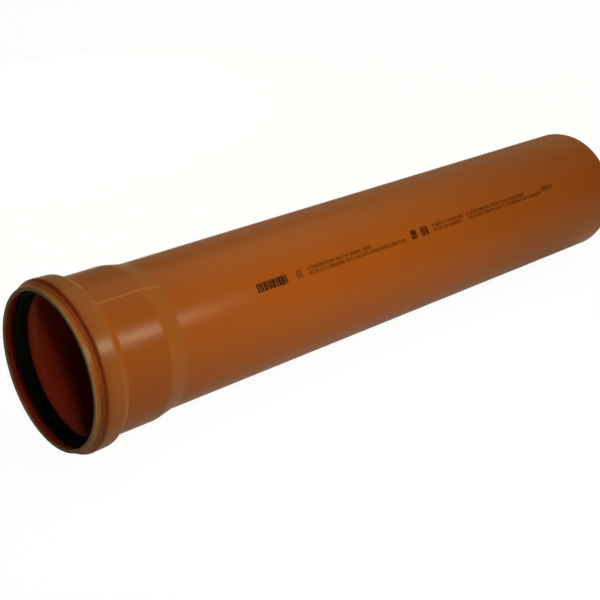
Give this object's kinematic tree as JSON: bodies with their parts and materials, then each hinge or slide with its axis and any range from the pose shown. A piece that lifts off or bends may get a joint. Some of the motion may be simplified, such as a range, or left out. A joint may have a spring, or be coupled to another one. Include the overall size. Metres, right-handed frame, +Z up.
{
  "type": "sewer pipe",
  "caption": "Straight PVC sewer pipe with a belled push-fit socket that holds a rubber lip seal, and a plain bevelled spigot at the far end.",
  "frame": {"origin": "point on the floor under the middle of the pipe's overall box", "axes": "+X along the pipe from socket to spigot as it lies on the floor, +Z up; the pipe's own axis dips 0.8 degrees towards the spigot, because it lies on its bead and its spigot end"},
  "size_m": [0.5778, 0.1258, 0.1257],
  "materials": {
    "pvc": "satin orange-brown PVC with fine lengthwise drawing lines",
    "rubber": "matt black moulded rubber"
  },
  "bodies": {
    "root": {"pipe": "pvc", "seal_ring": "rubber"}
  },
  "joints": []
}
